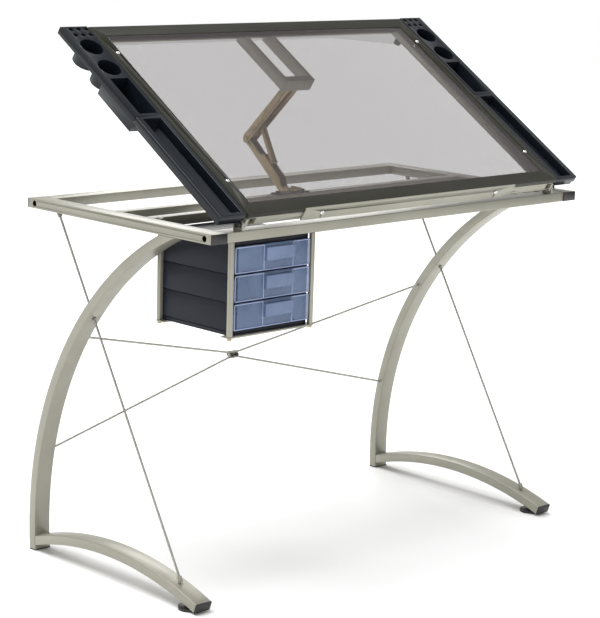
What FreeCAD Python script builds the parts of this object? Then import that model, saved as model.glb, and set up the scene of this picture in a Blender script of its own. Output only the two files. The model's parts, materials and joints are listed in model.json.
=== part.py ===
"""A drafting and craft table with a tilting glass top, drawers and side trays.

All lengths are millimetres and all angles degrees. X runs along the table's
width, Y from the user towards the rear, Z up. The origin is on the floor under
the middle of the table's bounding box. Every y below is first counted from the
front end of the side rails, and each sub-part's Placement moves it to the origin.
"""
import FreeCAD, Part
import math
import operator
import os
import Sketcher

doc = FreeCAD.newDocument("drafting_table")

SIZES = {
    # steel base: rails, legs and feet
    "table_width": 1092, "rail_length": 578, "rail_top": 762, "tube_width": 40, "tube_height": 20,
    "tube_wall": 1.5, "middle_rail_width": 25, "front_middle_rail_y": 220, "rear_middle_rail_y": 317,
    "end_cap_thickness": 3, "cap_plug_length": 11, "plug_clearance": 0.2,
    "cross_rail_inset": 2, "leg_top_y": 132, "leg_bottom_y": 559, "leg_lean": 4.4, "leg_pad_thickness": 2,
    "foot_peak_y": 301.6, "foot_peak_height": 70.6, "foot_tip_y": 28, "foot_tip_height": 13.5,
    "weld_gap": 0.1, "leveler_y": 65, "leveler_radius": 24, "leveler_thickness": 6,
    "leveler_boss_radius": 11, "stud_radius": 4, "stud_length": 22, "stud_clearance": 0.3,
    "frame_bolt_radius": 3, "frame_bolt_head_radius": 6, "frame_bolt_head_height": 6,
    "frame_bolt_reach": 24,
    # stay cables
    "cable_radius": 2.5, "cable_hole_clearance": 1.5, "side_cable_top_y": 500, "side_cable_foot_y": 84,
    "ferrule_radius": 5, "ferrule_length": 12, "ferrule_stand": 3.6,
    "cross_cable_upper_y": 430, "cross_cable_lower_y": 543,
    "cable_hub_y": 533, "cable_hub_z": 362, "cable_gap": 1, "clamp_clearance": 0.1, "clamp_plate_width": 24,
    "clamp_plate_height": 16, "clamp_plate_thickness": 4.5, "clamp_bolt_spacing": 13,
    "clamp_bolt_radius": 1.5, "clamp_head_radius": 4.5, "clamp_head_height": 4,
    # hinge and tilting top, in the top's own frame: slope runs up it, rise is square to it
    "hinge_y": 10, "hinge_height": 775, "tilt_angle": 33, "hinge_pin_radius": 4, "hinge_clearance": 0.1,
    "hinge_plate_x": 462.3, "hinge_plate_thickness": 5, "hinge_plate_radius": 9, "ear_thickness": 5.5,
    "hinge_side_gap": 0.8, "ear_rise": 16.5, "hinge_head_radius": 6, "hinge_head_length": 9,
    "top_front": -7, "top_length": 593, "top_half_width": 464.5, "top_surface": 30,
    "bar_thickness": 10, "side_bar_width": 35, "end_bar_width": 39, "glass_thickness": 5,
    "glass_ledge": 8, "glass_gap": 0.5, "glass_sink": 0.5, "top_rail_bottom": 2, "top_rail_outer": 456,
    "top_rail_width": 20, "screw_x": 446, "front_screw_s": 98, "rear_screw_s": 504,
    "screw_head_radius": 4.5, "screw_head_height": 2.5, "screw_radius": 2, "screw_length": 24,
    "bumper_radius": 8, "bumper_gap": 0.4, "bumper_s": 553,
    # side trays
    "tray_inner": 467, "tray_outer": 535, "tray_front": 2, "tray_split": 305, "tray_rear": 595,
    "tray_joint_gap": 1, "rim_depth": 15, "front_tray_depth": 23, "rear_tray_depth": 40,
    "tray_body_inset": 4, "rim_overhang": 16, "tray_wall": 2.5, "tray_floor": 2.5,
    "tray_flange_thickness": 3, "long_bin_start": 9, "long_bin_end": 296, "long_bin_inner": 477,
    "long_bin_outer": 522, "short_bin_start": 312, "short_bin_end": 424, "short_bin_inner": 474,
    "short_bin_outer": 520, "cup_radius": 25, "cup_x": 498, "front_cup_s": 459, "rear_cup_s": 527,
    "pen_hole_radius": 5, "pen_hole_first_s": 567, "pen_hole_row_step": 19, "pen_hole_first_x": 475,
    "pen_hole_step": 19, "peg_radius": 3, "peg_length": 6,
    # pencil ledge on the front of the top
    "ledge_left": -313, "ledge_right": 318, "ledge_height": 30, "ledge_thickness": 3, "ledge_gap": 0.1,
    "ledge_travel": 13, "ledge_screw_x": 262, "ledge_screw_drop": 15, "ledge_screw_radius": 2.2,
    "ledge_head_radius": 5, "ledge_head_height": 2, "ledge_screw_length": 14,
    # lifting stay under the top
    "stay_x": -12, "stay_base_y": 351.5, "stay_base_z": 752, "stay_top_s": 401.1, "stay_top_n": 0.7,
    "lower_arm_length": 170.5, "upper_arm_length": 186.7, "stay_pin_radius": 4, "stay_pin_clearance": 0.1,
    "arm_sheet": 1.6, "lower_arm_half_width": 9.5, "upper_arm_half_width": 13, "stay_side_gap": 0.5,
    "lower_arm_back": 8, "lower_arm_front": 7, "upper_arm_back": 11, "upper_arm_front": 9,
    "tooth_rise": 16.8, "tooth_depth": 3, "tooth_pitch": 9, "tooth_first": 62, "tooth_count": 8,
    "pawl_pivot": 53, "pawl_length": 90.5, "pawl_angle": 242.65, "pawl_half_width": 6,
    "pawl_half_depth": 4, "pawl_tip_radius": 2.5, "pawl_pin_radius": 2.5,
    "stay_plate_left": -75, "stay_plate_right": 19, "stay_plate_margin": 0.5, "stay_plate_thickness": 3,
    "stay_ear_thickness": 2.5, "stay_ear_radius": 9, "stay_ear_front": 324, "stay_ear_gap": 0.5,
    "stay_ear_height": 8, "stay_ear_crown": 355, "stay_bolt_inset": 12,
    "stay_bolt_radius": 3, "stay_bolt_head_radius": 6, "stay_bolt_head_height": 4,
    "lift_half_gap": 34.3, "lift_bar_width": 8, "lift_front": 387, "lift_front_wall": 2.5,
    "lift_flange_reach": 16, "lift_notch_gap": 0.5, "lift_flange_thickness": 2, "lift_bottom": -4,
    "lift_top": 24,
    # drawer cabinet and its hangers
    "cabinet_left": -485, "cabinet_right": -280, "cabinet_front": 12, "cabinet_rear": 215,
    "cabinet_base_bottom": 557, "cabinet_base_thickness": 8, "cabinet_lid_thickness": 10,
    "cabinet_wall": 3, "cabinet_shelf": 2, "seam_depth": 1, "drawer_gap": 0.6, "drawer_wall": 2,
    "drawer_front_left": -473, "drawer_front_right": -283, "drawer_front_thickness": 7,
    "drawer_front_gap": 0.8, "drawer_back_gap": 8, "drawer_low_rim": 8, "pull_left": -405,
    "pull_right": -330, "pull_reach": 8, "pull_height": 20, "pull_wall": 2, "pull_top_gap": 6,
    "hanger_post": 9.5, "hanger_left": -494.5, "hanger_right": -269.5, "strap_thickness": 3,
    "strap_reach": 24, "hanger_bolt_radius": 4.5, "hanger_bolt_height": 4,
}

sheet = doc.addObject("Spreadsheet::Sheet", "Sizes")
for row, (alias, number) in enumerate(SIZES.items(), start=1):
    sheet.set(f"A{row}", alias)
    sheet.set(f"B{row}", str(number))
    sheet.setAlias(f"B{row}", alias)
derived = doc.addObject("App::VarSet", "Derived")
doc.recompute()


class Value:
    """A number together with the formula in the sheet's names that gives it."""

    def __init__(self, number, formula):
        self.number = float(number)
        self.formula = formula

    def __add__(self, other):
        return combined(self, "+", other)

    def __radd__(self, other):
        return combined(other, "+", self)

    def __sub__(self, other):
        return combined(self, "-", other)

    def __rsub__(self, other):
        return combined(other, "-", self)

    def __mul__(self, other):
        return combined(self, "*", other)

    def __rmul__(self, other):
        return combined(other, "*", self)

    def __truediv__(self, other):
        return combined(self, "/", other)

    def __rtruediv__(self, other):
        return combined(other, "/", self)

    def __neg__(self):
        return combined(0, "-", self)


SIGNS = {"+": operator.add, "-": operator.sub, "*": operator.mul, "/": operator.truediv}


def as_value(item):
    return item if isinstance(item, Value) else Value(item, f"({item})")


def combined(left, sign, right):
    left, right = as_value(left), as_value(right)
    number = SIGNS[sign](left.number, right.number)
    return Value(number, f"({left.formula} {sign} {right.formula})")


def sine(angle):
    return Value(math.sin(math.radians(angle.number)), f"sin({angle.formula})")


def cosine(angle):
    return Value(math.cos(math.radians(angle.number)), f"cos({angle.formula})")


def root(area):
    return Value(math.sqrt(area.number), f"sqrt({area.formula})")


def arc_sine(ratio):
    return Value(math.degrees(math.asin(ratio.number)), f"(asin({ratio.formula}) / 1 deg)")


def arc_cosine(ratio):
    return Value(math.degrees(math.acos(ratio.number)), f"(acos({ratio.formula}) / 1 deg)")


def direction(run, rise):
    """The angle of a line with this run and rise."""
    return Value(math.degrees(math.atan2(rise.number, run.number)),
                 f"(atan2({rise.formula}; {run.formula}) / 1 deg)")


def derive(name, value):
    """Store a worked-out size in the document, so that later formulas stay short."""
    derived.addProperty("App::PropertyFloat", name)
    derived.setExpression(name, value.formula)
    return Value(value.number, f"Derived.{name}")


class Sizes:
    """The sheet's sizes as Values: size.rail_top is the cell called rail_top."""

    def __getattr__(self, name):
        return Value(sheet.get(name), f"Sizes.{name}")


size = Sizes()

# ---------------------------------------------------------------- worked-out places

rail_bottom = derive("rail_bottom", size.rail_top - size.tube_height)
half_table = derive("half_table", size.table_width / 2)
rail_inner = derive("rail_inner", half_table - size.tube_width)
side_centre = derive("side_centre", half_table - size.tube_width / 2)
top_rear = derive("top_rear", size.top_front + size.top_length)

ledge_back = derive("ledge_back", size.top_front - size.ledge_gap)
ledge_front = derive("ledge_front", ledge_back - size.ledge_thickness)
front_most = derive("front_most", size.hinge_y + ledge_front * cosine(size.tilt_angle)
                    - size.top_surface * sine(size.tilt_angle))
ledge_bottom = size.top_surface - size.ledge_height
ledge_screw_z = size.top_surface - size.ledge_screw_drop
centre_y = derive("centre_y", (size.rail_length + front_most) / 2)

leg_run = derive("leg_run", size.leg_top_y - size.leg_bottom_y)
leg_radius = derive("leg_radius", (leg_run * leg_run + rail_bottom * rail_bottom)
                    / (2 * (rail_bottom * sine(size.leg_lean) - leg_run * cosine(size.leg_lean))))
leg_centre_y = derive("leg_centre_y", size.leg_bottom_y - leg_radius * cosine(size.leg_lean))
leg_centre_z = derive("leg_centre_z", leg_radius * sine(size.leg_lean))
leg_inner_radius = derive("leg_inner_radius", leg_radius - size.tube_height / 2)

foot_peak_mid = derive("foot_peak_mid", size.foot_peak_height - size.tube_height / 2)
foot_run = derive("foot_run", size.foot_peak_y - size.foot_tip_y)
foot_rise = derive("foot_rise", foot_peak_mid - size.foot_tip_height)
foot_radius = derive("foot_radius", (foot_run * foot_run + foot_rise * foot_rise) / (2 * foot_rise))
foot_centre_z = derive("foot_centre_z", foot_peak_mid - foot_radius)
foot_tip_angle = derive("foot_tip_angle", arc_sine(foot_run / foot_radius))


def leg_z(y):
    """Height of the leg's middle line at y."""
    run = y - leg_centre_y
    return leg_centre_z + root(leg_radius * leg_radius - run * run)


def foot_z(y):
    """Height of the foot's middle line at y."""
    run = y - size.foot_peak_y
    return foot_centre_z + root(foot_radius * foot_radius - run * run)


stay_top_y = derive("stay_top_y", size.hinge_y + size.stay_top_s * cosine(size.tilt_angle)
                    - size.stay_top_n * sine(size.tilt_angle))
stay_top_z = derive("stay_top_z", size.hinge_height + size.stay_top_s * sine(size.tilt_angle)
                    + size.stay_top_n * cosine(size.tilt_angle))
stay_run = derive("stay_run", stay_top_y - size.stay_base_y)
stay_climb = derive("stay_climb", stay_top_z - size.stay_base_z)
stay_span = derive("stay_span", root(stay_run * stay_run + stay_climb * stay_climb))
stay_corner = derive("stay_corner", arc_cosine(
    (size.lower_arm_length * size.lower_arm_length + stay_span * stay_span
     - size.upper_arm_length * size.upper_arm_length) / (2 * size.lower_arm_length * stay_span)))
lower_angle = derive("lower_angle", direction(stay_run, stay_climb) - stay_corner)
elbow_y = derive("elbow_y", size.stay_base_y + size.lower_arm_length * cosine(lower_angle))
elbow_z = derive("elbow_z", size.stay_base_z + size.lower_arm_length * sine(lower_angle))
upper_angle = derive("upper_angle", direction(stay_top_y - elbow_y, stay_top_z - elbow_z))
pawl_y = derive("pawl_y", elbow_y + size.pawl_pivot * cosine(upper_angle))
pawl_z = derive("pawl_z", elbow_z + size.pawl_pivot * sine(upper_angle))

TABLE = (0, -centre_y, 0, None)
STAY_BASE = (size.stay_x, -centre_y, 0, None)
TOP = (0, size.hinge_y - centre_y, size.hinge_height, size.tilt_angle)
STAY_TOP = (size.stay_x, size.hinge_y - centre_y, size.hinge_height, size.tilt_angle)
LOWER_ARM = (size.stay_x, size.stay_base_y - centre_y, size.stay_base_z, lower_angle)
UPPER_ARM = (size.stay_x, elbow_y - centre_y, elbow_z, upper_angle)
PAWL = (size.stay_x, pawl_y - centre_y, pawl_z, size.pawl_angle)

# ---------------------------------------------------------------- building blocks

nodes = []
X_AXIS = FreeCAD.Vector(1, 0, 0)
Y_AXIS = FreeCAD.Vector(0, 1, 0)
PLANES = {"x": "YZ_Plane", "y": "XZ_Plane", "z": "XY_Plane"}
TURNS = {"x": FreeCAD.Rotation(Y_AXIS, 90), "y": FreeCAD.Rotation(X_AXIS, -90), "z": FreeCAD.Rotation()}


def bind(thing, prop, value):
    """Set a property from a formula."""
    thing.setExpression(prop, as_value(value).formula)


def place(thing, x, y, z, turn=None):
    """Bind a Placement's base, and its angle about X where it has one."""
    if turn is not None:
        thing.Placement = FreeCAD.Placement(FreeCAD.Vector(), FreeCAD.Rotation(X_AXIS, turn.number))
        bind(thing, "Placement.Rotation.Angle", turn)
    for prop, value in (("x", x), ("y", y), ("z", z)):
        bind(thing, f"Placement.Base.{prop}", value)


def keep(thing, label, frame):
    """Name a finished sub-part, put it in its frame and list it as a node."""
    thing.Label = label
    place(thing, *frame)
    nodes.append(thing)
    return thing


def block(x_range, y_range, z_range):
    """A box between three pairs of faces."""
    box = doc.addObject("Part::Box", "block")
    for prop, (low, high) in (("Length", x_range), ("Width", y_range), ("Height", z_range)):
        bind(box, prop, as_value(high) - low)
    place(box, x_range[0], y_range[0], z_range[0])
    return box


def rod(axis, x, y, z, radius, length):
    """A cylinder that starts at a point and runs along +X, +Y or +Z."""
    cylinder = doc.addObject("Part::Cylinder", "rod")
    bind(cylinder, "Radius", radius)
    bind(cylinder, "Height", length)
    cylinder.Placement = FreeCAD.Placement(FreeCAD.Vector(), TURNS[axis])
    for prop, value in (("x", x), ("y", y), ("z", z)):
        bind(cylinder, f"Placement.Base.{prop}", value)
    return cylinder


def leaning_rod(x, y, z, lean, radius, length):
    """A cylinder whose axis lies in a plane of constant x, lean degrees from +Z about X."""
    cylinder = doc.addObject("Part::Cylinder", "rod")
    bind(cylinder, "Radius", radius)
    bind(cylinder, "Height", length)
    place(cylinder, x, y, z, lean)
    return cylinder


def joined(*shapes):
    fuse = doc.addObject("Part::MultiFuse", "joined")
    fuse.Shapes = list(shapes)
    return fuse


def less(base, *tools):
    """The base with every tool cut away."""
    cut = doc.addObject("Part::Cut", "cut")
    cut.Base = base
    cut.Tool = tools[0] if len(tools) == 1 else joined(*tools)
    return cut


def together(shapes):
    """Several separate solids as one sub-part."""
    group = doc.addObject("Part::Compound", "group")
    group.Links = list(shapes)
    return group


def origin_feature(body, role):
    return next(item for item in body.Origin.OriginFeatures if item.Role == role)


class Piece:
    """A PartDesign body. Loops are lists of points, or (centre u, centre v, radius)."""

    def __init__(self, label, frame=None):
        self.body = doc.addObject("PartDesign::Body", label)
        if frame is not None:
            keep(self.body, label, frame)

    def sketch(self, axis, loops, start):
        drawing = self.body.newObject("Sketcher::SketchObject", "sketch")
        drawing.AttachmentSupport = [(origin_feature(self.body, PLANES[axis]), "")]
        drawing.MapMode = "FlatFace"
        bind(drawing, "AttachmentOffset.Base.z", -as_value(start) if axis == "y" else start)
        for loop in loops:
            if isinstance(loop, tuple):
                draw_circle(drawing, *loop)
            else:
                draw_outline(drawing, loop)
        return drawing

    def feature(self, kind, axis, loops, start, length, backwards):
        part = self.body.newObject(kind, "feature")
        part.Profile = self.sketch(axis, loops, start)
        part.Reversed = backwards
        bind(part, "Length", length)
        self.body.Tip = part
        return part

    def pad(self, axis, loops, start, length):
        """Add the loops' area, from start along +axis."""
        self.feature("PartDesign::Pad", axis, loops, start, length, axis == "y")
        return self

    def pocket(self, axis, loops, start, length):
        """Cut the loops' area, from start along +axis."""
        self.feature("PartDesign::Pocket", axis, loops, start, length, axis != "y")
        pockets.append((self.body, self.body.Tip))
        return self

    def revolve(self, axis, loops, angle):
        """Turn a sketch on the XZ plane about the body's X axis."""
        part = self.body.newObject("PartDesign::Revolution", "revolve")
        part.Profile = self.sketch(axis, loops, 0)
        part.ReferenceAxis = (origin_feature(self.body, "X_Axis"), [""])
        bind(part, "Angle", angle)
        self.body.Tip = part
        return self


pockets = []


def draw_outline(drawing, points):
    """A closed polygon with every corner dimensioned from the sketch's origin."""
    points = [(as_value(u), as_value(v)) for u, v in points]
    first = drawing.GeometryCount
    count = len(points)
    for index in range(count):
        (u0, v0), (u1, v1) = points[index], points[(index + 1) % count]
        drawing.addGeometry(Part.LineSegment(FreeCAD.Vector(u0.number, v0.number, 0),
                                             FreeCAD.Vector(u1.number, v1.number, 0)), False)
    for index in range(count):
        drawing.addConstraint(Sketcher.Constraint("Coincident", first + index, 2,
                                                  first + (index + 1) % count, 1))
    for index, corner in enumerate(points):
        for kind, value in zip(("DistanceX", "DistanceY"), corner):
            number = drawing.addConstraint(
                Sketcher.Constraint(kind, -1, 1, first + index, 1, value.number))
            drawing.setExpression(f"Constraints[{number}]", value.formula)


def draw_circle(drawing, u, v, radius):
    """A circle with its centre and radius dimensioned."""
    u, v, radius = as_value(u), as_value(v), as_value(radius)
    centre = FreeCAD.Vector(u.number, v.number, 0)
    number = drawing.addGeometry(Part.Circle(centre, FreeCAD.Vector(0, 0, 1), radius.number), False)
    rules = (Sketcher.Constraint("DistanceX", -1, 1, number, 3, u.number),
             Sketcher.Constraint("DistanceY", -1, 1, number, 3, v.number),
             Sketcher.Constraint("Radius", number, radius.number))
    for rule, value in zip(rules, (u, v, radius)):
        index = drawing.addConstraint(rule)
        drawing.setExpression(f"Constraints[{index}]", value.formula)


def rectangle(u0, u1, v0, v1):
    return [(u0, v0), (u1, v0), (u1, v1), (u0, v1)]


def between(start, end):
    """A start and a length, from two ends."""
    return start, as_value(end) - start


def sided(side, near, far):
    """Limits in x of what lies between near and far from the middle, on one side."""
    return (as_value(near), as_value(far)) if side > 0 else (-as_value(far), -as_value(near))


SIDES = (("left", -1), ("right", 1))


# ---------------------------------------------------------------- steel base

def hollow(low, high):
    """The tube wall's inner limits between two outer ones."""
    return low + size.tube_wall, high - size.tube_wall


def side_rail(name, side):
    """A tube from front to rear, with bolt access holes in its outer face."""
    limits = sided(side, rail_inner, half_table)
    rail = Piece(f"side_rail_{name}", TABLE)
    section = [rectangle(*limits, rail_bottom, size.rail_top),
               rectangle(*hollow(*limits), *hollow(rail_bottom, size.rail_top))]
    rail.pad("y", section, *between(size.end_cap_thickness, size.rail_length - size.end_cap_thickness))
    heads = [(y, rail_mid, size.frame_bolt_head_radius + size.plug_clearance) for y in bolt_rows]
    shanks = [(y, rail_mid, size.frame_bolt_radius + size.plug_clearance) for y in bolt_rows]
    rail.pocket("x", heads, *between(*sided(side, side_centre, half_table)))
    rail.pocket("x", shanks, *between(*sided(side, rail_inner, side_centre)))


def cross_rail(label, front, width):
    """A tube between the side rails."""
    rail = Piece(label, TABLE)
    section = [rectangle(front, front + width, rail_bottom, size.rail_top),
               rectangle(*hollow(front, front + width), *hollow(rail_bottom, size.rail_top))]
    rail.pad("x", section, -rail_inner, rail_inner * 2)


rail_mid = derive("rail_mid", size.rail_top - size.tube_height / 2)
front_rail_y = size.cross_rail_inset
rear_rail_y = derive("rear_rail_y", size.rail_length - size.cross_rail_inset - size.tube_width)
bolt_rows = (front_rail_y + size.tube_width / 2, rear_rail_y + size.tube_width / 2)


def rail_caps():
    """Plastic plugs for the four ends of the side rails."""
    caps = []
    wall = size.tube_wall + size.plug_clearance
    front_face, front_plug = size.end_cap_thickness, size.end_cap_thickness + size.cap_plug_length
    ends = (((0, front_face), (front_face, front_plug)),
            ((size.rail_length - front_face, size.rail_length),
             (size.rail_length - front_plug, size.rail_length - front_face)))
    for name, side in SIDES:
        low, high = sided(side, rail_inner, half_table)
        for face_y, plug_y in ends:
            face = block((low, high), face_y, (rail_bottom, size.rail_top))
            plug = block((low + wall, high - wall), plug_y, (rail_bottom + wall, size.rail_top - wall))
            caps.append(joined(face, plug))
    return caps


def frame_bolts():
    """Bolts that sit in the side rails and run into the front and rear rails."""
    bolts = []
    seat = rail_inner + size.tube_wall
    for name, side in SIDES:
        for y in bolt_rows:
            head_x, head_length = between(*sided(side, seat, seat + size.frame_bolt_head_height))
            shank_x, shank_length = between(*sided(side, seat - size.frame_bolt_reach, seat))
            bolts.append(joined(
                rod("x", head_x, y, rail_mid, size.frame_bolt_head_radius, head_length),
                rod("x", shank_x, y, rail_mid, size.frame_bolt_radius, shank_length)))
    keep(together(bolts), "frame_bolts", TABLE)


def arched_tube(label, side, radius, start, sweep, arc_y, arc_z):
    """A hollow tube bent round an axis parallel to X, starting at an angle from +Y."""
    half = size.tube_height / 2
    piece = Piece(label)
    low, high = sided(side, rail_inner, half_table)
    section = [rectangle(low, high, radius - half, radius + half),
               rectangle(*hollow(low, high), *hollow(radius - half, radius + half))]
    piece.revolve("y", section, sweep)
    place(piece.body, 0, arc_y, arc_z, start - 90)
    return piece.body


side_cable_lean = derive("side_cable_lean", direction(
    rail_bottom - foot_z(size.side_cable_foot_y), size.side_cable_foot_y - size.side_cable_top_y))
side_cable_run = derive("side_cable_run", root(
    (rail_bottom - foot_z(size.side_cable_foot_y)) * (rail_bottom - foot_z(size.side_cable_foot_y))
    + (size.side_cable_foot_y - size.side_cable_top_y) * (size.side_cable_foot_y - size.side_cable_top_y)))
foot_slope_cos = derive("foot_slope_cos", (foot_z(size.side_cable_foot_y) - foot_centre_z) / foot_radius)


def leg(name, side):
    """A bowed tube from under the side rail to the floor, pierced for the side cable."""
    sweep = arc_sine((rail_bottom - leg_centre_z) / leg_inner_radius) + size.leg_lean * 2
    tube = arched_tube(f"leg_tube_{name}", side, leg_radius, -size.leg_lean * 2,
                       sweep + size.leg_lean, leg_centre_y, leg_centre_z)
    far = size.rail_length * 2
    above = block(sided(side, rail_inner, half_table), (-far, far), (rail_bottom, rail_bottom + far))
    below = block(sided(side, rail_inner, half_table), (-far, far), (-far, size.leg_pad_thickness))
    hole = leaning_rod(side * side_centre, size.side_cable_top_y, rail_bottom, side_cable_lean + 180,
                       size.cable_radius + size.cable_hole_clearance, side_cable_run * 0.75)
    keep(less(tube, above, below, hole), f"leg_{name}", TABLE)


def foot(name, side):
    """An arched tube from the leg's front face to a tip on the floor, bored for its leveler."""
    tube = arched_tube(f"foot_tube_{name}", side, foot_radius, 90 - foot_tip_angle,
                       foot_tip_angle * 2, size.foot_peak_y, foot_centre_z)
    leg_body = rod("x", side * side_centre - size.tube_width, leg_centre_y, leg_centre_z,
                   leg_inner_radius - size.weld_gap, size.tube_width * 2)
    trimmed = doc.addObject("Part::Common", "trimmed")
    trimmed.Base = tube
    trimmed.Tool = leg_body
    bore = rod("z", side * side_centre, size.leveler_y, 0, size.stud_radius + size.stud_clearance,
               foot_z(size.leveler_y))
    keep(less(trimmed, bore), f"foot_{name}", TABLE)


def leg_pads():
    """Thin pads between the legs and the floor."""
    half = size.tube_height / 2
    pads = [block(sided(side, rail_inner, half_table), (size.leg_bottom_y - half, size.leg_bottom_y + half),
                  (0, size.leg_pad_thickness)) for name, side in SIDES]
    keep(together(pads), "leg_pads", TABLE)


def foot_caps():
    """Plastic plugs for the feet's front ends, square to the tube."""
    caps = []
    half = size.tube_height / 2
    wall = size.tube_wall + size.plug_clearance
    for name, side in SIDES:
        piece = Piece(f"foot_cap_{name}")
        low, high = sided(side, rail_inner, half_table)
        piece.pad("y", [rectangle(low, high, -half, half)], -size.end_cap_thickness, size.end_cap_thickness)
        piece.pad("y", [rectangle(low + wall, high - wall, wall - half, half - wall)], 0,
                  size.cap_plug_length * 0.6)
        place(piece.body, 0, size.foot_tip_y, size.foot_tip_height, foot_tip_angle)
        caps.append(piece.body)
    return caps


def leveler(name, side):
    """A disc on a threaded stud that turns in the foot."""
    x = side * side_centre
    disc = rod("z", x, size.leveler_y, 0, size.leveler_radius, size.leveler_thickness)
    boss = rod("z", x, size.leveler_y, 0, size.leveler_boss_radius, size.leveler_thickness * 1.5)
    stud = rod("z", x, size.leveler_y, 0, size.stud_radius, size.stud_length)
    keep(joined(disc, boss, stud), f"leveler_{name}", TABLE)


# ---------------------------------------------------------------- stay cables

def side_cable(name, side):
    """A tight cable from the side rail, through the leg, down to the foot."""
    run = leaning_rod(side * side_centre, size.side_cable_top_y, rail_bottom, side_cable_lean + 180,
                      size.cable_radius, side_cable_reach)
    keep(together([run]), f"side_cable_{name}", TABLE)


def cable_ferrules():
    """Sleeves that anchor the side cables under the rails and on the feet."""
    sleeves = []
    for name, side in SIDES:
        x = side * side_centre
        for start in (0, side_cable_reach - size.ferrule_length):
            end = (x, size.side_cable_top_y + start * sine(side_cable_lean),
                   rail_bottom - start * cosine(side_cable_lean), side_cable_lean + 180)
            sleeve = leaning_rod(*end, size.ferrule_radius, size.ferrule_length)
            bore = leaning_rod(*end, size.cable_radius, size.ferrule_length)
            rail = block(sided(side, rail_inner, half_table), (0, size.rail_length),
                         (rail_bottom, size.rail_top))
            sleeves.append(less(sleeve, bore, rail))
    keep(together(sleeves), "cable_ferrules", TABLE)


def cross_cable(label, end_y, hub_z, radius):
    """Two tight runs from the legs' inner faces to the clamp in the middle."""
    hub = FreeCAD.Vector(0, size.cable_hub_y.number, hub_z.number)
    shapes = [Part.makeSphere(radius.number, hub)]
    for name, side in SIDES:
        end = FreeCAD.Vector(side * rail_inner.number, end_y.number, leg_z(end_y).number)
        shapes.append(Part.makeCylinder(radius.number, (hub - end).Length, end, hub - end))
    cable = doc.addObject("Part::Feature", label)
    cable.Shape = shapes[0].fuse(shapes[1:])
    return cable


def cable_clamp():
    """Two grooved plates that grip the crossing cables, and their two bolts."""
    half_x, half_z = size.clamp_plate_width / 2, size.clamp_plate_height / 2
    plates = []
    for near in (size.cable_hub_y - size.clamp_plate_thickness, size.cable_hub_y):
        plate = block((-half_x, half_x), (near, near + size.clamp_plate_thickness),
                      (size.cable_hub_z - half_z, size.cable_hub_z + half_z))
        holes = [rod("y", bolt * size.clamp_bolt_spacing / 2, near, size.cable_hub_z,
                     size.clamp_bolt_radius, size.clamp_plate_thickness) for bolt in (-1, 1)]
        grooves = [cross_cable("groove", end_y, hub_z, size.cable_radius + size.clamp_clearance)
                   for end_y, hub_z in cross_cables]
        plates.append(less(plate, *holes, *grooves))
    keep(together(plates), "cable_clamp_plates", TABLE)
    head_y = size.cable_hub_y - size.clamp_plate_thickness - size.clamp_head_height
    bolts = []
    for bolt in (-1, 1):
        x = bolt * size.clamp_bolt_spacing / 2
        ends = [rod("y", x, y, size.cable_hub_z, size.clamp_head_radius, size.clamp_head_height)
                for y in (head_y, size.cable_hub_y + size.clamp_plate_thickness)]
        shank = rod("y", x, head_y, size.cable_hub_z, size.clamp_bolt_radius,
                    size.clamp_plate_thickness * 2 + size.clamp_head_height)
        bolts.append(joined(shank, *ends))
    keep(together(bolts), "clamp_bolts", TABLE)


hub_offset = size.cable_radius + size.cable_gap / 2
cross_cables = ((size.cross_cable_upper_y, size.cable_hub_z + hub_offset),
                (size.cross_cable_lower_y, size.cable_hub_z - hub_offset))
ferrule_drop = size.tube_height / 2 + size.ferrule_radius + size.ferrule_stand
side_cable_reach = derive("side_cable_reach", side_cable_run - ferrule_drop / foot_slope_cos)


# ---------------------------------------------------------------- drawer cabinet

lid_bottom = derive("lid_bottom", rail_bottom - size.cabinet_lid_thickness)
base_top = derive("base_top", size.cabinet_base_bottom + size.cabinet_base_thickness)
module_height = derive("module_height", (lid_bottom - base_top) / 3)


def cabinet():
    """A lid and a base with three stacked shells between them, open to the front."""
    width = (size.cabinet_left, size.cabinet_right)
    depth = (size.cabinet_front, size.cabinet_rear)
    Piece("cabinet_lid", TABLE).pad("z", [rectangle(*width, *depth)], *between(lid_bottom, rail_bottom))
    Piece("cabinet_base", TABLE).pad("z", [rectangle(*width, *depth)],
                                     *between(size.cabinet_base_bottom, base_top))
    for number in (1, 2, 3):
        low = base_top + (number - 1) * module_height
        shell = Piece(f"cabinet_module_{number}", TABLE)
        shell.pad("z", [rectangle(*width, *depth)], low, module_height)
        inside = rectangle(width[0] + size.cabinet_wall, width[1] - size.cabinet_wall,
                           low + size.cabinet_shelf, low + module_height)
        shell.pocket("y", [inside], *between(depth[0], depth[1] - size.cabinet_wall))
        groove = rectangle(width[0], width[0] + size.seam_depth, depth[0], depth[1])
        shell.pocket("z", [groove], low, size.seam_depth)


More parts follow.
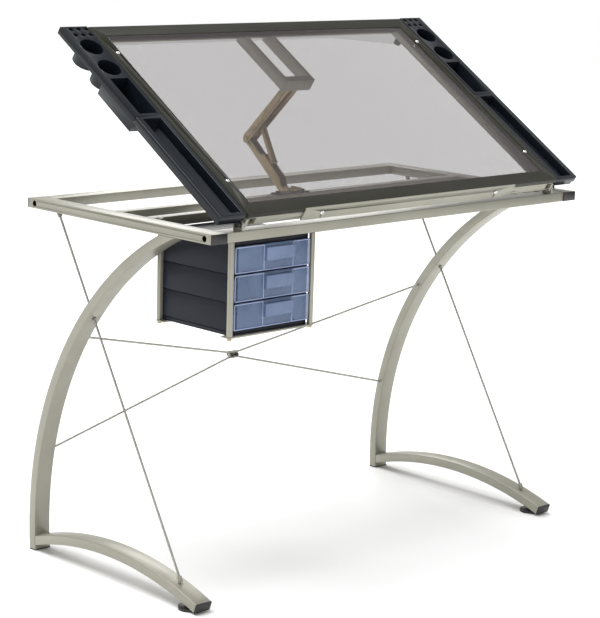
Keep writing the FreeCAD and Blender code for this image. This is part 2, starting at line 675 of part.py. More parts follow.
def drawer(number):
    """An open tray behind a clear front with a handle pocket."""
    low = base_top + (number - 1) * module_height + size.cabinet_shelf + size.drawer_gap
    high = base_top + number * module_height - size.drawer_gap
    left = size.cabinet_left + size.cabinet_wall + size.drawer_gap
    right = size.cabinet_right - size.cabinet_wall - size.drawer_gap
    back = size.cabinet_rear - size.cabinet_wall - size.drawer_back_gap
    front = size.cabinet_front - size.drawer_front_gap - size.drawer_front_thickness
    piece = Piece(f"drawer_{number}", TABLE)
    piece.pad("z", [rectangle(left, right, size.cabinet_front - size.drawer_front_gap, back)],
              *between(low, high - size.drawer_low_rim))
    piece.pad("y", [rectangle(size.drawer_front_left, size.drawer_front_right, low, high)],
              front, size.drawer_front_thickness)
    piece.pad("y", [rectangle(size.pull_left, size.pull_right, low + size.pull_height,
                              high - size.pull_top_gap)], front - size.pull_reach, size.pull_reach)
    piece.pocket("z", [rectangle(left + size.drawer_wall, right - size.drawer_wall,
                                 size.cabinet_front + size.drawer_wall, back - size.drawer_wall)],
                 *between(low + size.drawer_wall, high))
    piece.pocket("z", [rectangle(size.pull_left + size.pull_wall, size.pull_right - size.pull_wall,
                                 front - size.pull_reach + size.pull_wall, front + size.pull_wall)],
                 *between(low + size.pull_height, high - size.pull_top_gap - size.pull_wall))


def hangers():
    """Four square posts hung from the rails, two straps under the cabinet and their bolts."""
    post = size.hanger_post
    strap_bottom = size.cabinet_base_bottom - size.strap_thickness
    rows = ((size.cross_rail_inset, 0, rail_bottom),
            (size.front_middle_rail_y - post, post - size.strap_reach, size.rail_top))
    posts, straps, bolts = [], [], []
    for y, strap_shift, post_top in rows:
        straps.append(block((size.hanger_left, size.hanger_right),
                            (y + strap_shift, y + strap_shift + size.strap_reach),
                            (strap_bottom, size.cabinet_base_bottom)))
        for x in (size.hanger_left, size.hanger_right - post):
            posts.append(block((x, x + post), (y, y + post), (size.cabinet_base_bottom, post_top)))
            bolts.append(rod("z", x + post / 2, y + post / 2, strap_bottom - size.hanger_bolt_height,
                             size.hanger_bolt_radius, size.hanger_bolt_height))
    keep(together(posts), "hanger_posts", TABLE)
    keep(together(straps), "hanger_straps", TABLE)
    keep(together(bolts), "hanger_bolts", TABLE)


# ---------------------------------------------------------------- hinge and tilting top

hinge_plate_outer = size.hinge_plate_x + size.hinge_plate_thickness
ear_inner = size.hinge_plate_x - size.hinge_side_gap - size.ear_thickness


def hinge_brackets():
    """Plates on the front rail, bored for the hinge pins."""
    plates = []
    radius = size.hinge_plate_radius
    for name, side in SIDES:
        start, length = between(*sided(side, size.hinge_plate_x, hinge_plate_outer))
        piece = Piece(f"hinge_bracket_{name}")
        piece.pad("x", [rectangle(size.hinge_y - radius + 1, size.hinge_y + radius * 2, size.rail_top,
                                  size.hinge_height)], start, length)
        piece.pad("x", [(size.hinge_y, size.hinge_height, radius)], start, length)
        piece.pocket("x", [(size.hinge_y, size.hinge_height, size.hinge_pin_radius)], start, length)
        plates.append(piece.body)
    keep(together(plates), "hinge_brackets", TABLE)


def hinge_pins():
    """Pins fixed in the brackets, with a head outside."""
    pins = []
    for name, side in SIDES:
        shank = between(*sided(side, ear_inner + size.hinge_clearance, hinge_plate_outer))
        head = between(*sided(side, hinge_plate_outer, hinge_plate_outer + size.hinge_head_length))
        pins.append(joined(
            rod("x", shank[0], size.hinge_y, size.hinge_height, size.hinge_pin_radius, shank[1]),
            rod("x", head[0], size.hinge_y, size.hinge_height, size.hinge_head_radius, head[1])))
    keep(together(pins), "hinge_pins", TABLE)


def hinge_ears():
    """Ears on the outer faces of the top's side rails that turn on the hinge pins."""
    ears = []
    for name, side in SIDES:
        start, length = between(*sided(side, ear_inner, ear_inner + size.ear_thickness))
        piece = Piece(f"hinge_ear_{name}")
        piece.pad("x", [(0, 0, size.hinge_plate_radius - 1)], start, length)
        piece.pad("x", [rectangle(size.top_front, size.hinge_plate_radius * 2, 0, size.ear_rise)],
                  start, length)
        piece.pocket("x", [(0, 0, size.hinge_pin_radius + size.hinge_clearance)], start, length)
        ears.append(piece.body)
    keep(together(ears), "hinge_ears", TOP)


def frame_bars():
    """Four mitred bars round the glass, with a ledge under its edge."""
    outer_x, inner_x = size.top_half_width, size.top_half_width - size.side_bar_width
    front, rear = size.top_front, top_rear
    inner_front, inner_rear = front + size.end_bar_width, rear - size.end_bar_width
    outlines = {
        "frame_bar_front": [(-outer_x, front), (outer_x, front), (inner_x, inner_front),
                            (-inner_x, inner_front)],
        "frame_bar_rear": [(-outer_x, rear), (outer_x, rear), (inner_x, inner_rear),
                           (-inner_x, inner_rear)],
        "frame_bar_left": [(-outer_x, front), (-inner_x, inner_front), (-inner_x, inner_rear),
                           (-outer_x, rear)],
        "frame_bar_right": [(outer_x, front), (inner_x, inner_front), (inner_x, inner_rear),
                            (outer_x, rear)],
    }
    seat = top_glass_limits(0)
    side_bars = []
    for label, outline in outlines.items():
        bar = Piece(label, TOP)
        if label in ("frame_bar_left", "frame_bar_right"):
            side_bars.append(bar)
        bar.pad("z", [outline], size.top_surface - size.bar_thickness, size.bar_thickness)
        bar.pocket("z", [seat], size.top_surface - size.glass_thickness - size.glass_sink,
                   size.glass_thickness + size.glass_sink)
    for side, bar in zip((-1, 1), side_bars):
        for x, y in screw_places(side):
            bar.pocket("z", [(x, y, size.screw_radius)], size.top_surface - size.bar_thickness,
                       size.bar_thickness)


def screw_places(side):
    """Where the two screws of one side bar stand."""
    return [(side * size.screw_x, size.top_front + place_s)
            for place_s in (size.front_screw_s, size.rear_screw_s)]


def top_glass_limits(gap):
    """The rebate's outline, or the glass's with a gap all round."""
    half = size.top_half_width - size.side_bar_width + size.glass_ledge - gap
    return rectangle(-half, half, size.top_front + size.end_bar_width - size.glass_ledge + gap,
                     top_rear - size.end_bar_width + size.glass_ledge - gap)


def glass_panel():
    Piece("glass_panel", TOP).pad("z", [top_glass_limits(size.glass_gap)],
                                  size.top_surface - size.glass_thickness - size.glass_sink,
                                  size.glass_thickness)


def top_rails():
    """Square tubes under the bars: two run the full slope, two lie between them."""
    levels = (size.top_rail_bottom, size.top_surface - size.bar_thickness)
    inner = size.top_rail_outer - size.top_rail_width
    rails = []
    for name, side in SIDES:
        limits = sided(side, inner, size.top_rail_outer)
        rail = Piece(f"top_rail_{name}")
        rail.pad("y", [rectangle(*limits, *levels), rectangle(*hollow(*limits), *hollow(*levels))],
                 size.top_front, size.top_length)
        for x, y in screw_places(side):
            rail.pocket("z", [(x, y, size.screw_radius)], *between(*levels))
        rails.append(rail.body)
    for name, start in (("front", size.top_front), ("rear", top_rear - size.top_rail_width)):
        rail = Piece(f"top_rail_{name}")
        limits = (start, start + size.top_rail_width)
        rail.pad("x", [rectangle(*limits, *levels), rectangle(*hollow(*limits), *hollow(*levels))],
                 -inner, inner * 2)
        if name == "front":
            for side in (-1, 1):
                rail.pocket("y", [(side * size.ledge_screw_x, ledge_screw_z, size.ledge_screw_radius)],
                            start, size.tube_wall)
        rails.append(rail.body)
    keep(together(rails), "top_rails", TOP)


def top_screws():
    """Screws through the side bars into the top's side rails."""
    screws = []
    for name, side in SIDES:
        for at in screw_places(side):
            screws.append(joined(
                rod("z", *at, size.top_surface, size.screw_head_radius, size.screw_head_height),
                rod("z", *at, size.top_surface - size.screw_length, size.screw_radius, size.screw_length)))
    keep(together(screws), "top_screws", TOP)


def bumpers():
    """Rubber stops under the top's side rails that rest on the rear rail when the top lies flat."""
    reach = size.hinge_height - size.rail_top + size.top_rail_bottom - size.bumper_gap
    x = size.top_rail_outer - size.top_rail_width / 2
    stops = [rod("z", side * x, size.top_front + size.bumper_s, size.top_rail_bottom - reach,
                 size.bumper_radius, reach)
             for name, side in SIDES]
    keep(together(stops), "rest_bumpers", TOP)


# ---------------------------------------------------------------- side trays

def tray_blank(label, side, start, end, depth, body_end):
    """A rim plate with a deeper body under it and a flange that hooks under the bar."""
    tray = Piece(label, TOP)
    rim = (size.top_surface - size.rim_depth, size.top_surface)
    inset = size.tray_body_inset
    tray.pad("z", [rectangle(*sided(side, size.tray_inner, size.tray_outer), start, end)], *between(*rim))
    tray.pad("z", [rectangle(*sided(side, size.tray_inner + inset, size.tray_outer - inset),
                             start + inset / 2, body_end)],
             *between(size.top_surface - depth, rim[0]))
    flange = rectangle(*sided(side, size.top_rail_outer, size.tray_inner + inset), start + inset,
                       end - size.rim_overhang)
    tray.pad("z", [flange], size.top_surface - size.bar_thickness - size.tray_flange_thickness,
             size.tray_flange_thickness)
    return tray


def front_tray(name, side):
    """The shallow tray with one long bin."""
    start = size.top_front + size.tray_front
    end = size.top_front + size.tray_split - size.tray_joint_gap
    tray = tray_blank(f"front_tray_{name}", side, start, end, size.front_tray_depth,
                      end - size.tray_body_inset)
    bin_outline = rectangle(*sided(side, size.long_bin_inner, size.long_bin_outer),
                            size.top_front + size.long_bin_start, size.top_front + size.long_bin_end)
    tray.pocket("z", [bin_outline], *between(size.top_surface - size.front_tray_depth + size.tray_floor,
                                             size.top_surface))


def rear_tray(name, side):
    """The deep tray with a short bin, two cups and six pen holes."""
    start = size.top_front + size.tray_split
    end = size.top_front + size.tray_rear
    tray = tray_blank(f"rear_tray_{name}", side, start, end, size.rear_tray_depth,
                      size.top_front + size.short_bin_end + size.tray_body_inset)
    cup_places = [(side * size.cup_x, size.top_front + cup_s)
                  for cup_s in (size.front_cup_s, size.rear_cup_s)]
    tray.pad("z", [(*at, size.cup_radius + size.tray_wall) for at in cup_places],
             *between(size.top_surface - size.rear_tray_depth, size.top_surface - size.rim_depth))
    depth = between(size.top_surface - size.rear_tray_depth + size.tray_floor, size.top_surface)
    bin_outline = rectangle(*sided(side, size.short_bin_inner, size.short_bin_outer),
                            size.top_front + size.short_bin_start, size.top_front + size.short_bin_end)
    tray.pocket("z", [bin_outline], *depth)
    tray.pocket("z", [(*at, size.cup_radius) for at in cup_places], *depth)
    holes = [(side * (size.pen_hole_first_x + column * size.pen_hole_step),
              size.top_front + size.pen_hole_first_s + row * size.pen_hole_row_step, size.pen_hole_radius)
             for row in (0, 1) for column in (0, 1, 2)]
    tray.pocket("z", holes, size.top_surface - size.rim_depth, size.rim_depth)
    pegs = [(side * (size.pen_hole_first_x + (column + 0.5) * size.pen_hole_step),
             size.top_front + size.pen_hole_first_s + size.pen_hole_row_step / 2, size.peg_radius)
            for column in (0, 1)]
    tray.pad("z", pegs, size.top_surface - size.rim_depth - size.peg_length, size.peg_length)


# ---------------------------------------------------------------- pencil ledge


def pencil_ledge():
    """A plate on the front edge with a slot at each screw, so that it slides up."""
    plate = Piece("pencil_ledge", TOP)
    plate.pad("y", [rectangle(size.ledge_left, size.ledge_right, ledge_bottom, size.top_surface)],
              *between(ledge_front, ledge_back))
    radius = size.ledge_screw_radius + size.hinge_clearance
    slot_low = ledge_screw_z - size.ledge_travel
    for side in (-1, 1):
        x = side * size.ledge_screw_x
        plate.pocket("y", [rectangle(x - radius, x + radius, slot_low, ledge_screw_z)],
                     *between(ledge_front, ledge_back))
        for end in (slot_low, ledge_screw_z):
            plate.pocket("y", [(x, end, radius)], *between(ledge_front, ledge_back))


def ledge_screws():
    """Screws with wide heads that hold the ledge on the front rail of the top."""
    screws = []
    head_y = ledge_front - size.ledge_gap - size.ledge_head_height
    for side in (-1, 1):
        x = side * size.ledge_screw_x
        screws.append(joined(
            rod("y", x, head_y, ledge_screw_z, size.ledge_head_radius, size.ledge_head_height),
            rod("y", x, head_y, ledge_screw_z, size.ledge_screw_radius, size.ledge_screw_length)))
    keep(together(screws), "ledge_screws", TOP)


# ---------------------------------------------------------------- lifting stay

def capsule(piece, axis, ends, radius, start, length):
    """Pad a straight bar with round ends: a strip between two centres on the v = 0 line."""
    piece.pad(axis, [rectangle(ends[0], ends[1], -radius, radius)], start, length)
    for end in ends:
        piece.pad(axis, [(end, 0, radius)], start, length)


def arm_cheeks(half_width):
    """Limits in x of a channel's two side plates."""
    return ((-half_width, -half_width + size.arm_sheet), (half_width - size.arm_sheet, half_width))


def lower_arm():
    """A channel from the base pin to the elbow, with teeth on its front edges."""
    arm = Piece("lower_arm", LOWER_ARM)
    length = size.lower_arm_length
    back, front = size.lower_arm_back, size.lower_arm_front
    teeth_end = length - size.tooth_first
    teeth_start = teeth_end - size.tooth_count * size.tooth_pitch
    outline = [(0, -front), (length, -back), (length, front), (teeth_end + size.tooth_pitch, front)]
    for number in range(int(size.tooth_count.number)):
        crest = teeth_end - number * size.tooth_pitch
        outline.append((crest, size.tooth_rise))
        outline.append((crest - size.tooth_pitch, size.tooth_rise - size.tooth_depth))
    outline += [(teeth_start - size.tooth_pitch, front), (0, front)]
    web = [(0, -front), (length, -back), (length, size.arm_sheet - back), (0, size.arm_sheet - front)]
    for low, high in arm_cheeks(size.lower_arm_half_width):
        arm.pad("x", [outline], low, high - low)
        arm.pad("x", [(0, 0, front)], low, high - low)
        arm.pad("x", [(length, 0, back)], low, high - low)
    arm.pad("x", [web], -size.lower_arm_half_width, size.lower_arm_half_width * 2)
    for place_y in (0, length):
        arm.pocket("x", [(place_y, 0, size.stay_pin_radius + size.stay_pin_clearance)],
                   -size.lower_arm_half_width, size.lower_arm_half_width * 2)


def upper_arm():
    """A wider channel from the elbow to the top pin, open towards the lower arm."""
    arm = Piece("upper_arm", UPPER_ARM)
    length = size.upper_arm_length
    back, front = size.upper_arm_back, size.upper_arm_front
    outline = rectangle(0, length, -back, front)
    for low, high in arm_cheeks(size.upper_arm_half_width):
        arm.pad("x", [outline], low, high - low)
        for end in (0, length):
            arm.pad("x", [(end, 0, front)], low, high - low)
    arm.pad("x", [rectangle(0, length, -back, size.arm_sheet - back)], -size.upper_arm_half_width,
            size.upper_arm_half_width * 2)
    holes = ((0, size.stay_pin_radius), (length, size.stay_pin_radius),
             (size.pawl_pivot, size.pawl_pin_radius))
    for place_y, radius in holes:
        arm.pocket("x", [(place_y, 0, radius)], -size.upper_arm_half_width, size.upper_arm_half_width * 2)


def headed_pin(x_reach, y, z, radius, head_radius, head_length):
    """A pin across the stay with a head at each end."""
    return joined(rod("x", -x_reach - head_length, y, z, radius, (x_reach + head_length) * 2),
                  rod("x", -x_reach - head_length, y, z, head_radius, head_length),
                  rod("x", x_reach, y, z, head_radius, head_length))


def stay_pins():
    """The base pin, and the three pins that the upper arm carries."""
    head = size.stay_pin_radius * 1.6
    thickness = size.arm_sheet
    base_reach = size.lower_arm_half_width + size.stay_side_gap + size.stay_ear_thickness
    top_reach = size.lift_half_gap - size.stay_side_gap
    keep(headed_pin(base_reach, size.stay_base_y, size.stay_base_z, size.stay_pin_radius, head,
                    thickness), "base_pin", STAY_BASE)
    elbow = headed_pin(size.upper_arm_half_width, 0, 0, size.stay_pin_radius, head, thickness)
    top = rod("x", -top_reach, size.upper_arm_length, 0, size.stay_pin_radius, top_reach * 2)
    pawl = headed_pin(size.upper_arm_half_width, size.pawl_pivot, 0, size.pawl_pin_radius,
                      size.pawl_pin_radius * 1.6, thickness / 2)
    keep(together([elbow, top, pawl]), "upper_arm_pins", UPPER_ARM)


def pawl_strut():
    """A strut from the upper arm whose cross pin drops on the lower arm's teeth."""
    strut = Piece("pawl_strut", PAWL)
    width = size.pawl_half_width * 2
    capsule(strut, "x", (0, size.pawl_length), size.pawl_half_depth, -size.pawl_half_width, width)
    strut.pad("x", [(size.pawl_length, 0, size.pawl_tip_radius)], -size.lower_arm_half_width,
              size.lower_arm_half_width * 2)
    strut.pocket("x", [(0, 0, size.pawl_pin_radius + size.stay_pin_clearance)], -size.pawl_half_width,
                 width)


def stay_base():
    """A plate on the rear middle rail, a bracket on it whose ears reach behind, and bolts."""
    inner = size.lower_arm_half_width + size.stay_side_gap
    outer = inner + size.stay_ear_thickness
    y, z, radius = size.stay_base_y, size.stay_base_z, size.stay_ear_radius
    rail_front, rail_rear = size.rear_middle_rail_y, size.rear_middle_rail_y + size.middle_rail_width
    rail_middle = (rail_front + rail_rear) / 2
    plate_top = size.rail_top + size.stay_plate_thickness
    behind = rail_rear + size.stay_ear_gap
    bracket = Piece("stay_base_bracket", STAY_BASE)
    ear = [(size.stay_ear_front, plate_top), (behind, plate_top), (behind, z), (y + radius, z),
           (size.stay_ear_crown, plate_top + size.stay_ear_height),
           (size.stay_ear_front, plate_top + size.stay_ear_height)]
    for side in (-1, 1):
        start, length = between(*sided(side, inner, outer))
        bracket.pad("x", [ear], start, length)
        bracket.pad("x", [(y, z, radius)], start, length)
    bracket.pad("z", [rectangle(-inner, inner, size.stay_ear_front, rail_rear)], plate_top,
                size.stay_ear_thickness)
    bracket.pocket("x", [(y, z, size.stay_pin_radius + size.stay_pin_clearance)], -outer, outer * 2)
    bolt_places = (size.stay_plate_left + size.stay_bolt_inset, size.stay_plate_right - size.stay_bolt_inset)
    plate = Piece("stay_base_plate", TABLE)
    plate.pad("z", [rectangle(size.stay_plate_left, size.stay_plate_right,
                              rail_front + size.stay_plate_margin, rail_rear - size.stay_plate_margin),
                    *[(x, rail_middle, size.stay_bolt_radius) for x in bolt_places]],
              size.rail_top, size.stay_plate_thickness)
    head_radius, head_height = size.stay_bolt_head_radius, size.stay_bolt_head_height
    bolts = []
    for x in bolt_places:
        bolts.append(joined(
            rod("z", x, rail_middle, plate_top, head_radius, head_height),
            rod("z", x, rail_middle, size.rail_top, size.stay_bolt_radius, size.stay_plate_thickness)))
        bolts.append(rod("z", x, rail_middle, rail_bottom - head_height, head_radius, head_height))
    keep(together(bolts), "stay_base_bolts", TABLE)


def lift_bracket():
    """Two flat bars under the glass joined by a flanged wall; the stay's top pin runs between them."""
    bracket = Piece("lift_bracket", STAY_TOP)
    gap, outer = size.lift_half_gap, size.lift_half_gap + size.lift_bar_width
    front, rear = size.lift_front, top_rear - size.top_rail_width
    levels = between(size.lift_bottom, size.lift_top)
    for side in (-1, 1):
        limits = sided(side, gap, outer)
        bracket.pad("z", [rectangle(*limits, front, rear)], *levels)
        bracket.pocket("z", [rectangle(*limits, top_rear - size.end_bar_width - size.lift_notch_gap, rear)],
                       *between(size.top_surface - size.bar_thickness, size.lift_top))
    bracket.pad("z", [rectangle(-gap, gap, front, front + size.lift_front_wall)], *levels)
    bracket.pad("z", [rectangle(-gap, gap, front, front + size.lift_flange_reach)],
                size.lift_top - size.lift_flange_thickness, size.lift_flange_thickness)


# ---------------------------------------------------------------- build every sub-part

for place_name, side_sign in SIDES:
    side_rail(place_name, side_sign)
    leg(place_name, side_sign)
    foot(place_name, side_sign)
    leveler(place_name, side_sign)
    side_cable(place_name, side_sign)
    front_tray(place_name, side_sign)
    rear_tray(place_name, side_sign)
cross_rail("front_rail", front_rail_y, size.tube_width)
cross_rail("rear_rail", rear_rail_y, size.tube_width)
cross_rail("middle_rail_front", size.front_middle_rail_y, size.middle_rail_width)
cross_rail("middle_rail_rear", size.rear_middle_rail_y, size.middle_rail_width)
keep(together(rail_caps() + foot_caps()), "tube_end_caps", TABLE)
frame_bolts()
leg_pads()
cable_ferrules()
for cable_name, (cable_end_y, cable_hub_z) in zip(("upper", "lower"), cross_cables):
    keep(cross_cable(f"cross_cable_{cable_name}", cable_end_y, cable_hub_z, size.cable_radius),
         f"cross_cable_{cable_name}", TABLE)
cable_clamp()
cabinet()
for drawer_number in (1, 2, 3):
    drawer(drawer_number)
hangers()
hinge_brackets()
hinge_pins()
hinge_ears()
frame_bars()
glass_panel()
top_rails()
top_screws()
bumpers()
pencil_ledge()
ledge_screws()
lower_arm()
upper_arm()
stay_pins()
pawl_strut()
stay_base()
lift_bracket()

doc.recompute()

for thing in doc.Objects:
    if "Invalid" in thing.State or "Error" in thing.State:
        raise RuntimeError(f"{thing.Label} did not compute")
for body, cut in pockets:
    if cut.Shape.Volume >= cut.BaseFeature.Shape.Volume:
        raise RuntimeError(f"a cut in {body.Label} removes nothing")
for node in nodes:
    if node.Shape.isNull() or not node.Shape.isValid():
        raise RuntimeError(f"{node.Label} has no valid shape")

os.makedirs("parts", exist_ok=True)
for node in nodes:
    node.Shape.exportStep(f"parts/{node.Label}.step")
print(f"{len(nodes)} sub-parts written")
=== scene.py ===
"""Looks of a drafting table: tilting glass top, side trays, bowed legs and a hanging drawer cabinet."""

import json
import math

import bmesh
import bpy
from mathutils import Matrix, Vector


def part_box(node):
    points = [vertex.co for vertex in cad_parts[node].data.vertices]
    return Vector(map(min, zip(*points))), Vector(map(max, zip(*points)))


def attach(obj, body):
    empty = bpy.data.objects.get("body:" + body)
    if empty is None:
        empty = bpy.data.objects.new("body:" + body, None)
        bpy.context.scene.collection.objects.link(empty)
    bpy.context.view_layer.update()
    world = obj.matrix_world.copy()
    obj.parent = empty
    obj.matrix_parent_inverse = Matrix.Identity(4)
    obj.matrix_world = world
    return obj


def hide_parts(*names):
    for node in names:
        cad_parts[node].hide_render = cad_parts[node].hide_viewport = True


MM = 0.001

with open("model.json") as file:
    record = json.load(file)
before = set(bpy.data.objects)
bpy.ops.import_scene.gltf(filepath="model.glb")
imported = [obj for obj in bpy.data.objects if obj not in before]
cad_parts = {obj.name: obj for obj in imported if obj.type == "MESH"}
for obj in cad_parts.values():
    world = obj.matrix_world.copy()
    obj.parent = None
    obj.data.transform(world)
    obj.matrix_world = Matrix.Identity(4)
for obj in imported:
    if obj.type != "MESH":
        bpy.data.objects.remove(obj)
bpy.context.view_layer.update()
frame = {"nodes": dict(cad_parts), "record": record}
nodes = frame["nodes"]

# ---------------------------------------------------------------- camera

CAMERA_PLACE = Vector((-3.0506, -3.0942, 1.3814))
CAMERA_YAW, CAMERA_PITCH, CAMERA_ROLL = (math.radians(angle) for angle in (-44.27, 11.36, 1.71))
CAMERA_LENS = 117.86


def make_camera():
    """A long-lens camera in front of the table, to its left and a little above it."""
    camera = bpy.data.objects.new("camera", bpy.data.cameras.new("camera"))
    bpy.context.collection.objects.link(camera)
    back = Vector((math.sin(CAMERA_YAW) * math.cos(CAMERA_PITCH),
                   -math.cos(CAMERA_YAW) * math.cos(CAMERA_PITCH), math.sin(CAMERA_PITCH)))
    right = (-back).cross(Vector((0, 0, 1))).normalized()
    up = right.cross(-back)
    rolled_right = right * math.cos(CAMERA_ROLL) + up * math.sin(CAMERA_ROLL)
    rolled_up = up * math.cos(CAMERA_ROLL) - right * math.sin(CAMERA_ROLL)
    turn = Matrix((rolled_right, rolled_up, back)).transposed()
    camera.matrix_world = Matrix.Translation(CAMERA_PLACE) @ turn.to_4x4()
    camera.data.lens = CAMERA_LENS
    camera.data.clip_end = 50
    bpy.context.scene.camera = camera


make_camera()
bpy.context.scene.view_settings.view_transform = "Standard"

# ---------------------------------------------------------------- materials


class Look:
    """A node material with short calls for the textures that feed its shader."""

    def __init__(self, name, color, roughness, metallic=0.0):
        self.material = bpy.data.materials.new(name)
        self.material.use_nodes = True
        self.tree = self.material.node_tree
        self.shader = self.tree.nodes["Principled BSDF"]
        self.shader.inputs["Base Color"].default_value = (*color, 1)
        self.shader.inputs["Roughness"].default_value = roughness
        self.shader.inputs["Metallic"].default_value = metallic
        self.place = self.tree.nodes.new("ShaderNodeTexCoord").outputs["Object"]

    def set(self, **values):
        """Set the shader's own sockets, named with underscores for spaces."""
        for key, value in values.items():
            self.shader.inputs[key.replace("_", " ")].default_value = value
        return self

    def noise(self, scale, detail=4.0, stretch=(1, 1, 1)):
        """Noise over the object's own place, in metres, drawn out along an axis if asked."""
        mapping = self.tree.nodes.new("ShaderNodeMapping")
        mapping.inputs["Scale"].default_value = stretch
        self.tree.links.new(self.place, mapping.inputs["Vector"])
        texture = self.tree.nodes.new("ShaderNodeTexNoise")
        texture.inputs["Scale"].default_value = scale
        texture.inputs["Detail"].default_value = detail
        self.tree.links.new(mapping.outputs["Vector"], texture.inputs["Vector"])
        return texture.outputs["Fac"]

    def colors(self, source, *stops):
        """Colour by a ramp over the source; stops are (position, colour)."""
        ramp = self.tree.nodes.new("ShaderNodeValToRGB")
        elements = ramp.color_ramp.elements
        while len(elements) < len(stops):
            elements.new(0.5)
        for element, (position, color) in zip(elements, stops):
            element.position = position
            element.color = (*color, 1)
        self.tree.links.new(source, ramp.inputs["Fac"])
        self.tree.links.new(ramp.outputs["Color"], self.shader.inputs["Base Color"])
        return self

    def roughness(self, source, low, high):
        """Roughness between two values by the source."""
        spread = self.tree.nodes.new("ShaderNodeMapRange")
        spread.inputs["To Min"].default_value = low
        spread.inputs["To Max"].default_value = high
        self.tree.links.new(source, spread.inputs["Value"])
        self.tree.links.new(spread.outputs["Result"], self.shader.inputs["Roughness"])
        return self

    def bump(self, source, strength, depth):
        """Relief of the given depth in metres."""
        bump = self.tree.nodes.new("ShaderNodeBump")
        bump.inputs["Strength"].default_value = strength
        bump.inputs["Distance"].default_value = depth
        self.tree.links.new(source, bump.inputs["Height"])
        self.tree.links.new(bump.outputs["Normal"], self.shader.inputs["Normal"])
        return self


def pewter():
    """Satin metallic powder coat with a fine orange peel."""
    look = Look("pewter_paint", (0.36, 0.35, 0.29), 0.4, 0.35)
    look.colors(look.noise(6, 3), (0.3, (0.31, 0.30, 0.245)), (0.7, (0.37, 0.36, 0.30)))
    look.roughness(look.noise(900, 2), 0.3, 0.42)
    return look.bump(look.noise(1600, 2), 0.12, 0.0002)


def dark_frame():
    """Dark olive-brown paint on the top's frame bars, with little shine."""
    look = Look("dark_frame_paint", (0.03, 0.03, 0.022), 0.4).set(Specular_IOR_Level=0.18)
    look.colors(look.noise(8, 3), (0.3, (0.024, 0.024, 0.018)), (0.7, (0.032, 0.031, 0.024)))
    look.roughness(look.noise(700, 2), 0.28, 0.4)
    return look.bump(look.noise(1500, 2), 0.12, 0.0002)


def tray_plastic():
    """Moulded black plastic with a high gloss and slow waves from the mould."""
    look = Look("tray_plastic", (0.008, 0.011, 0.015), 0.14).set(Specular_IOR_Level=0.3)
    look.colors(look.noise(5, 2), (0.3, (0.006, 0.009, 0.013)), (0.7, (0.010, 0.013, 0.018)))
    look.roughness(look.noise(40, 4), 0.1, 0.2)
    return look.bump(look.noise(60, 2), 0.1, 0.0004)


def cabinet_plastic():
    """Dark blue-black plastic with a fine leather grain."""
    look = Look("cabinet_plastic", (0.016, 0.018, 0.027), 0.42).set(Specular_IOR_Level=0.2)
    look.colors(look.noise(7, 3), (0.3, (0.013, 0.015, 0.023)), (0.7, (0.019, 0.021, 0.031)))
    look.roughness(look.noise(300, 3), 0.34, 0.5)
    return look.bump(look.noise(1100, 3), 0.35, 0.0003)


def drawer_plastic(name, dark, light, alpha):
    """Clear frosted blue plastic: partly see-through, cloudy where the mould was textured."""
    look = Look(name, dark, 0.16)
    look.set(Alpha=alpha, IOR=1.5)
    look.colors(look.noise(12, 3), (0.3, dark), (0.7, light))
    look.roughness(look.noise(60, 3), 0.1, 0.26)
    return look.bump(look.noise(90, 2), 0.15, 0.0004)


def top_glass():
    """Thin clear sheet, faintly warm, that shows the white behind it."""
    look = Look("top_glass", (0.10, 0.085, 0.085), 0.03)
    look.set(Alpha=0.42, IOR=1.45)
    look.colors(look.noise(1.5, 2), (0.3, (0.095, 0.08, 0.08)), (0.7, (0.11, 0.095, 0.095)))
    return look.roughness(look.noise(3, 2), 0.02, 0.05)


def zinc():
    """Yellow-passivated zinc: patches of straw, olive and a little pink over a satin metal."""
    look = Look("zinc", (0.5, 0.42, 0.24), 0.35, 0.85)
    look.colors(look.noise(38, 5), (0.25, (0.27, 0.25, 0.13)), (0.45, (0.46, 0.38, 0.19)),
                (0.6, (0.56, 0.44, 0.27)), (0.78, (0.44, 0.30, 0.24)))
    look.roughness(look.noise(220, 4), 0.26, 0.5)
    return look.bump(look.noise(900, 3), 0.2, 0.0002)


def edge_plastic():
    """The lighter ribs and pulls of the drawers, thicker and so more milky."""
    return drawer_plastic("drawer_edges", (0.30, 0.38, 0.60), (0.44, 0.52, 0.76), 0.85)


def weld_metal():
    """The paint over the welds, rougher and lumpier than on the tubes."""
    look = Look("weld_beads", (0.36, 0.35, 0.29), 0.35, 0.35)
    look.colors(look.noise(60, 4), (0.3, (0.28, 0.27, 0.22)), (0.7, (0.42, 0.41, 0.36)))
    look.roughness(look.noise(300, 3), 0.25, 0.45)
    return look.bump(look.noise(400, 4), 0.5, 0.0006)


def chrome():
    """Bright plated steel of the screw heads."""
    look = Look("chrome_screw", (0.78, 0.78, 0.78), 0.14, 1.0)
    look.colors(look.noise(300, 2), (0.3, (0.7, 0.7, 0.71)), (0.7, (0.82, 0.82, 0.82)))
    return look.roughness(look.noise(500, 3), 0.1, 0.24)


def black_steel():
    """Blackened steel of the bolts, the hinge pins and the plate under the stay."""
    look = Look("black_steel", (0.018, 0.018, 0.018), 0.4, 0.2)
    look.colors(look.noise(30, 3), (0.3, (0.013, 0.013, 0.013)), (0.7, (0.022, 0.022, 0.021)))
    look.roughness(look.noise(400, 3), 0.32, 0.5)
    return look.bump(look.noise(1300, 2), 0.15, 0.0002)


def cable_wire():
    """Drawn steel wire of the stay cables."""
    look = Look("cable_wire", (0.45, 0.44, 0.40), 0.36, 0.8)
    look.colors(look.noise(200, 3), (0.3, (0.34, 0.33, 0.30)), (0.7, (0.5, 0.49, 0.45)))
    return look.roughness(look.noise(900, 2), 0.28, 0.46)


